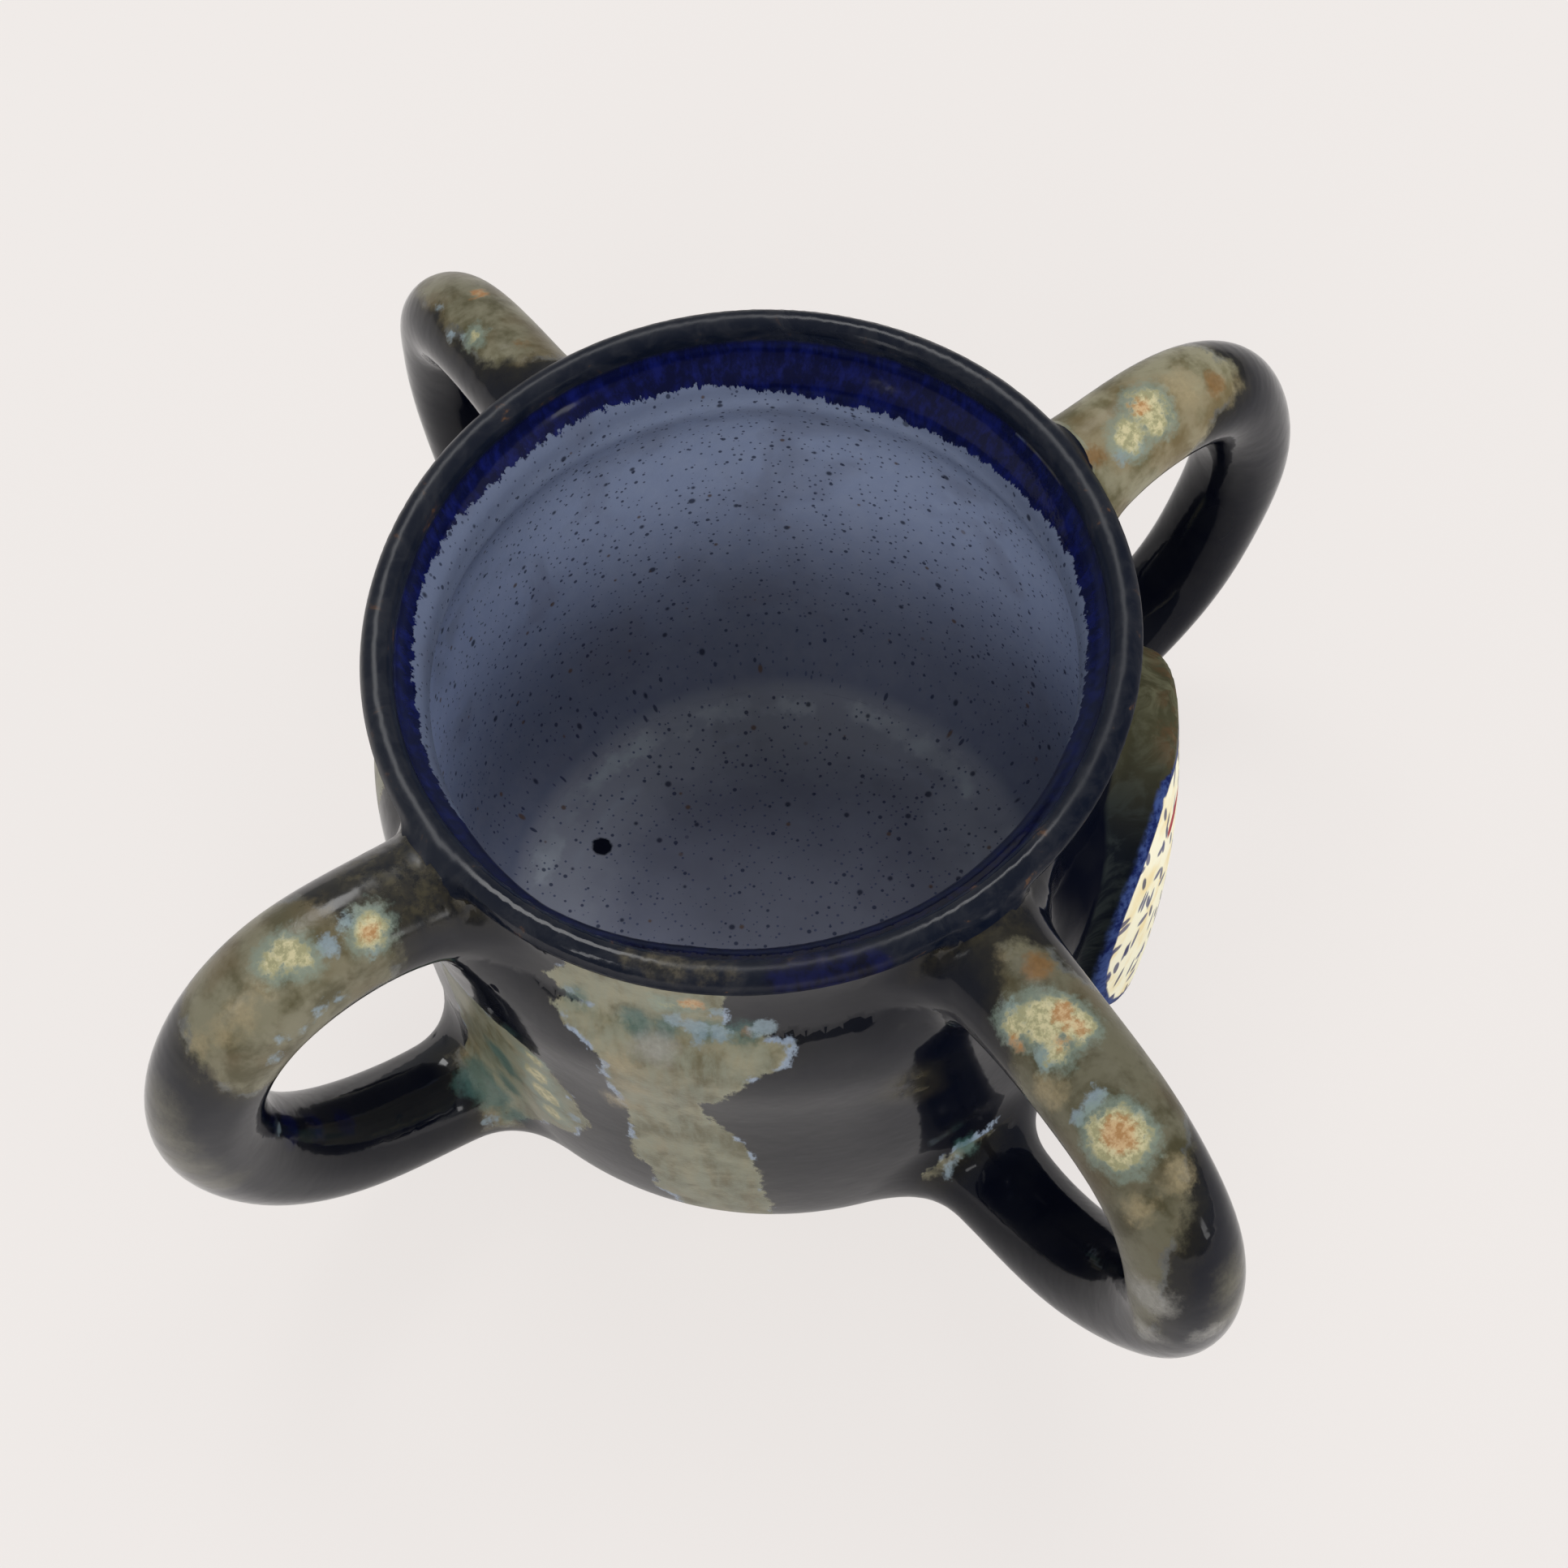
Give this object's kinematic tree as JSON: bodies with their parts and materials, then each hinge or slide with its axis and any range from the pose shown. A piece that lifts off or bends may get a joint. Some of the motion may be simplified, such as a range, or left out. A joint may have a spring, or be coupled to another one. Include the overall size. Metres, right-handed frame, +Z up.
{
  "type": "four-handled mug",
  "caption": "Wheel-thrown stoneware mug with a rolled lip, loop handles at quarter turns and a round applied medallion, in dark flowing glaze.",
  "frame": {"origin": "centre of the foot, on the plane where the foot ring rests", "axes": "+Z up along the axis of the cup, +X through one handle and +Y through the next; the medallion is between +X and -Y"},
  "size_m": [0.178, 0.1809, 0.0794],
  "materials": {
    "glaze": "glossy dark blue-black glaze with olive, turquoise and cream blooms"
  },
  "bodies": {
    "root": {"mug": "glaze"}
  },
  "joints": []
}
